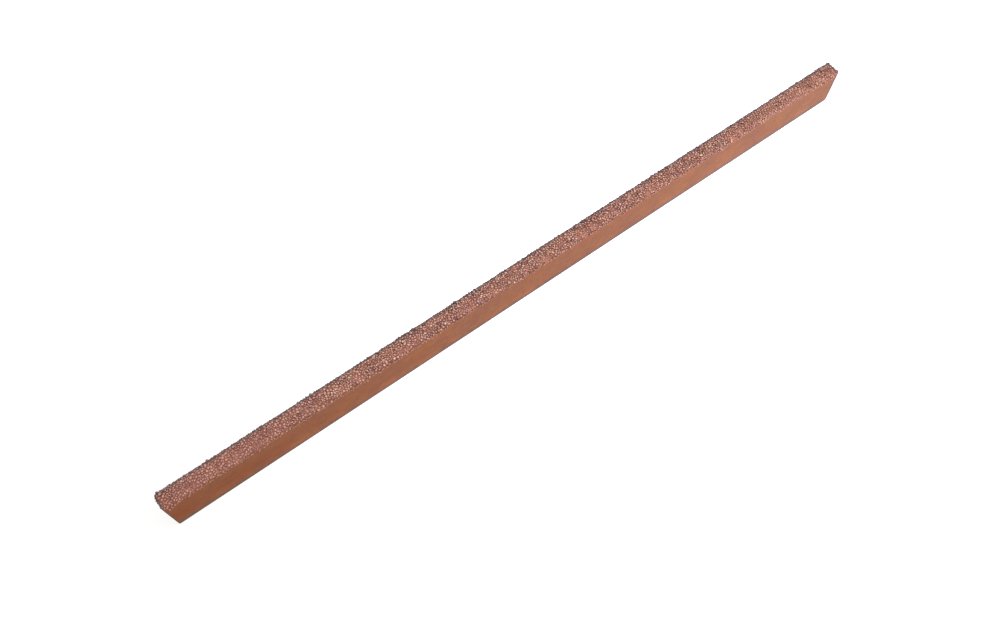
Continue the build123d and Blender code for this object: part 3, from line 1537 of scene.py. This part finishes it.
@dataclass(frozen=True)
class GritFinish:
    """Copper-washed carbide: each grain has a tone of its own, and is dark at its foot, partly
    from the braze that wets it and partly from a painted shade between the grains.

    Attributes:
        tones: The crests' colours, from the darkest to the palest.
        tone_share: How much the grain's own tone sets its colour. The clouds set the rest.
        mauve: The colour of the cool patches.
        warm: The colour of the warm patches.
        coated: The crests' colour on the laps, where more copper covers them.
        flooded_left: The grains' colour under the flood of braze at the left end.
        flooded_right: The same at the right end.
        bruised: The colour of the dark patches in the flood.
        scoured: The colour of the pale ones.
        ashen: The colour of the pale painted highlight on the back part of the top.
        soot: The colour of the painted shade on the back arris and round the tips.
        foot: The dark colour of the grains' feet on the working edge: partly the braze that wets
            them, partly a painted shade between the grains.
        lap_foot: The colour of their feet on the laps.
        lit_band: The heights on a grain where the painted shade at its foot ends and the crest's
            colour is full.
        lap_band: The depths below the bed's top where the laps' colours are full and start.
        lap_most: The strength of the laps' colours.
        mauve_most: The strength of the cool patches.
        warm_most: The strength of the warm patches.
        mottling: The strength of the flood's patches at the left and at the right end.
        flood_foot: The share of the flood that shows at a grain's foot.
        ash_foot: The share of the painted highlight that shows there.
        soot_foot: The share of the painted shade that shows there.
        roughness: The roughness outside the spots and in them.
        cloud_relief: The clouds' depth, in metres.
        grain_relief: The fine grain's depth, in metres.
    """

    tones: tuple[tuple[float, Colour], ...] = (
        (0.0, (0.21, 0.080, 0.063)),
        (0.3, (0.42, 0.215, 0.161)),
        (0.6, (0.58, 0.379, 0.296)),
        (1.0, (0.665, 0.515, 0.420)),
    )
    tone_share: float = 0.5
    mauve: Colour = (0.305, 0.128, 0.144)
    warm: Colour = (0.575, 0.285, 0.184)
    coated: Colour = (0.42, 0.185, 0.102)
    flooded_left: Colour = (0.362, 0.132, 0.074)
    flooded_right: Colour = (0.388, 0.184, 0.115)
    bruised: Colour = (0.225, 0.078, 0.082)
    scoured: Colour = (0.46, 0.222, 0.186)
    ashen: Colour = (0.42, 0.285, 0.250)
    soot: Colour = (0.110, 0.088, 0.085)
    foot: Colour = (0.128, 0.035, 0.028)
    lap_foot: Colour = (0.27, 0.105, 0.060)
    lit_band: tuple[float, float] = (0.1, 0.9)
    lap_band: tuple[float, float] = (0.5 * MM, 0.1 * MM)
    lap_most: float = 0.82
    mauve_most: float = 0.65
    warm_most: float = 0.55
    mottling: tuple[float, float] = (0.72, 0.3)
    flood_foot: float = 0.55
    ash_foot: float = 0.35
    soot_foot: float = 0.55
    roughness: tuple[float, float] = (0.50, 0.74)
    cloud_relief: float = 0.03 * MM
    grain_relief: float = 0.012 * MM

    def make(self, effects: Effects, sizes: StickSizes) -> bpy.types.Material:
        """Makes the finish.

        Args:
            effects: The shared effects.
            sizes: The stick's sizes.

        Returns:
            The material.
        """
        s = Surface("carbide_grit", metallic=0.6, roughness=0.55)
        tree = s.tree
        x, _, z = tree.split(s.place)
        tarnish = s.effect(effects.tarnish, Cloud_Scale=680.0, Spot_Scale=2600.0)
        patches = s.effect(effects.tarnish, Cloud_Scale=240.0, Spot_Scale=330.0)
        tone = tree.node("Attribute", attribute_name="grain_tone").outputs["Fac"]
        height = tree.node("Attribute", attribute_name="grain_height").outputs["Fac"]
        lit = tree.remap(height, *self.lit_band, 0, 1)
        rightward = tree.remap(x, -sizes.end_x, sizes.end_x, 0, 1)
        low, high = (sizes.bed_z - drop for drop in self.lap_band)
        on_lap = tree.remap(z, low, high, self.lap_most, 0)

        own = tree.times(tone, self.tone_share)
        worn = tree.times(tarnish["Clouds"], 1 - self.tone_share)
        crest = tree.ramp(tree.math("ADD", own, worn), self.tones)
        crest = tree.blend(tree.times(patches["Clouds"], self.mauve_most), crest, self.mauve)
        crest = tree.blend(tree.times(patches["Spots"], self.warm_most), crest, self.warm)
        crest = tree.blend(on_lap, crest, self.coated)
        # Painted shade: on the working edge each grain darkens towards its foot, between the
        # grains; on the laps the feet take the copper coat's colour.
        foot = tree.blend(on_lap, self.foot, self.lap_foot)
        colour = tree.blend(lit, foot, crest)

        mottling = tree.remap(rightward, 0, 1, *self.mottling)
        pool = tree.blend(rightward, self.flooded_left, self.flooded_right)
        pool = tree.blend(tree.times(patches["Clouds"], mottling), pool, self.bruised)
        pool = tree.blend(tree.times(patches["Spots"], mottling), pool, self.scoured)
        flood = s.effect(effects.end_flood)["Flood"]
        flood_share = tree.times(flood, tree.remap(lit, 0, 1, self.flood_foot, 1))
        colour = tree.blend(flood_share, colour, pool)

        # A pale painted highlight on the back part of the top, and painted shade on the back
        # arris and round the tips.
        smoke = s.effect(effects.smoke)
        ash_share = tree.times(smoke["Ash"], tree.remap(lit, 0, 1, self.ash_foot, 1))
        colour = tree.blend(ash_share, colour, self.ashen)
        soot_share = tree.times(smoke["Soot"], tree.remap(lit, 0, 1, self.soot_foot, 1))
        s.feed("Base Color", tree.blend(soot_share, colour, self.soot))
        s.feed("Roughness", tree.remap(tarnish["Spots"], 0, 1, *self.roughness))
        normal = s.emboss(tarnish["Clouds"], self.cloud_relief, 0.5)
        s.feed("Normal", s.emboss(tarnish["Grain"], self.grain_relief, 0.6, normal))
        return s.material


@dataclass(frozen=True)
class SteelFinish:
    """The mill-finished bar inside, which the copper hides.

    Attributes:
        bright: The steel's colour.
        scale: Its colour in the clouds of mill scale.
        roughness: The roughness between the drawn lines and on them.
        line_relief: The lines' depth, in metres.
    """

    bright: Colour = (0.56, 0.56, 0.57)
    scale: Colour = (0.30, 0.29, 0.29)
    roughness: tuple[float, float] = (0.32, 0.5)
    line_relief: float = 0.01 * MM

    def make(self, effects: Effects) -> bpy.types.Material:
        """Makes the finish.

        Args:
            effects: The shared effects.

        Returns:
            The material.
        """
        s = Surface("steel_bar_mill", metallic=1.0, roughness=0.4)
        tarnish = s.effect(effects.tarnish, Cloud_Scale=90.0, Spot_Scale=700.0)
        lines = s.effect(effects.drawn_lines, Fineness=1.0)["Lines"]
        s.feed("Base Color", s.tree.blend(tarnish["Clouds"], self.bright, self.scale))
        s.feed("Roughness", s.tree.remap(lines, *NOISE_SPAN, *self.roughness))
        s.feed("Normal", s.emboss(lines, self.line_relief, 0.6))
        return s.material


@dataclass
class CoatedBar:
    """The steel bar and its copper film, which keep the CAD's own meshes."""

    effects: Effects
    sizes: StickSizes

    def dress(self) -> None:
        """Gives the bar and the film their finishes."""
        film = CopperFilmFinish().make(self.effects, self.sizes)
        steel = SteelFinish().make(self.effects)
        for name, finish in (("copper_film", film), ("steel_bar", steel)):
            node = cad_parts[name]
            for slot in node.material_slots:
                slot.material = finish
            log.info("%s: %s", name, finish.name)


# --------------------------------------------------------------------------- studio


@dataclass(frozen=True)
class SoftBox:
    """A rectangular lamp that points at the stick.

    Attributes:
        name: The lamp's name.
        place: Where it hangs, in metres.
        target: Where it points, in metres.
        width: Its width, in metres.
        height: Its height, in metres.
        power: Its power, in watts.
        colour: The colour of its light.
    """

    name: str
    place: tuple[float, float, float]
    target: tuple[float, float, float]
    width: float
    height: float
    power: float
    colour: Colour = (1.0, 1.0, 1.0)

    def hang(self) -> None:
        """Adds the lamp, turned towards its target."""
        light = bpy.data.lights.new(self.name, "AREA")
        light.shape = "RECTANGLE"
        light.size, light.size_y = self.width, self.height
        light.energy, light.color = self.power, self.colour
        lamp = bpy.data.objects.new(self.name, light)
        lamp.location = self.place
        lamp.rotation_mode = "QUATERNION"
        aim = Vector(self.target) - Vector(self.place)
        lamp.rotation_quaternion = aim.to_track_quat("-Z", "Y")
        bpy.context.scene.collection.objects.link(lamp)


@dataclass
class Studio:
    """A plain pale floor, soft light, and the camera.

    Attributes:
        sizes: The stick's sizes.
        floor_half: Half the floor's side, in metres.
        floor_colour: The floor's colour.
        glow: The strength of the floor's own glow.
        glow_left: The glow's colour at the stick's left end.
        glow_middle: Its colour at glow_stop.
        glow_stop: A place between, as a share of the way from the left end to glow_end.
        glow_right: Its colour at glow_end and beyond.
        glow_end: The place along the stick where the glow stops changing, in metres.
        cool: The colour of the lamp at the right.
        air: The colour of the light all round.
        eye: The camera's place, in metres.
        gaze: The way that it looks.
        lens: Its focal length, in millimetres.
    """

    sizes: StickSizes
    floor_half: float = 3.0
    floor_colour: Colour = (0.10, 0.10, 0.10)
    glow: float = 2.35
    glow_left: Colour = (0.368, 0.366, 0.362)
    glow_middle: Colour = (0.590, 0.612, 0.672)
    glow_stop: float = 0.45
    glow_right: Colour = (0.795, 0.845, 1.0)
    glow_end: float = 0.09
    cool: Colour = (0.93, 1.02, 1.10)
    air: Colour = (1.0, 1.0, 1.0)
    eye: tuple[float, float, float] = (-0.10217, -0.11495, 0.26434)
    gaze: tuple[float, float, float] = (0.2749, 0.3699, -0.8875)
    lens: float = 31.5

    def build(self) -> None:
        """Builds the floor, the lights and the camera, and shows colours as they are."""
        self.lay_floor()
        self.fill_air()
        SoftBox(
            "key_right",
            place=(0.55, -0.25, 0.50),
            target=(0.05, 0.0, 0.0),
            width=0.45,
            height=0.45,
            power=4.1,
            colour=self.cool,
        ).hang()
        SoftBox(
            "top",
            place=(0.22, -0.05, 0.85),
            target=(0.05, 0.0, 0.0),
            width=0.8,
            height=0.8,
            power=3.6,
        ).hang()
        self.stand_camera()
        view = bpy.context.scene.view_settings
        view.view_transform = "Standard"
        view.look = "None"

    def lay_floor(self) -> None:
        """Lays a pale floor under the stick, which glows more towards the right."""
        deselect_all()
        bpy.ops.mesh.primitive_plane_add(size=2 * self.floor_half, location=(0, 0, 0))
        floor = bpy.context.object
        floor.name = "studio_floor"
        paper = Surface("pale_floor", metallic=0.0, roughness=0.9)
        paper.shader.inputs["Base Color"].default_value = (*self.floor_colour, 1.0)
        paper.shader.inputs["Emission Strength"].default_value = self.glow
        along = paper.tree.split(paper.place)[0]
        share = paper.tree.remap(along, -self.sizes.end_x, self.glow_end, 0, 1)
        middle = (self.glow_stop, self.glow_middle)
        stops = ((0.0, self.glow_left), middle, (1.0, self.glow_right))
        paper.feed("Emission Color", paper.tree.ramp(share, stops))
        floor.data.materials.append(paper.material)

    def fill_air(self) -> None:
        """Fills the room with even white light."""
        world = bpy.data.worlds.new("white_room")
        bpy.context.scene.world = world
        world.use_nodes = True
        background = world.node_tree.nodes["Background"]
        background.inputs["Color"].default_value = (*self.air, 1.0)

    def stand_camera(self) -> None:
        """Stands the camera above the front of the stick's left half."""
        lens = bpy.data.cameras.new("camera")
        lens.lens = self.lens
        lens.clip_start = 0.01
        camera = bpy.data.objects.new("camera", lens)
        camera.location = self.eye
        camera.rotation_mode = "QUATERNION"
        camera.rotation_quaternion = Vector(self.gaze).to_track_quat("-Z", "Y")
        bpy.context.scene.collection.objects.link(camera)
        bpy.context.scene.camera = camera


def main() -> None:
    """Builds the stick's looks, then the studio round it."""
    logging.basicConfig(level=logging.INFO, format="%(name)s: %(message)s")
    sizes = StickSizes.from_nodes()
    effects = Effects.build(sizes)
    CoatedBar(effects, sizes).dress()
    seats = GrainScatter(sizes).throw_all()
    bed = BrazeBed(sizes, seats)
    bed.dress(bed.build(), BrazeFinish().make(effects, sizes))
    coat = GritCoat(sizes, seats, ChipCutter().cut_all())
    coat.dress(coat.build(), GritFinish().make(effects, sizes))
    Studio(sizes).build()


if __name__ == "__main__":
    main()
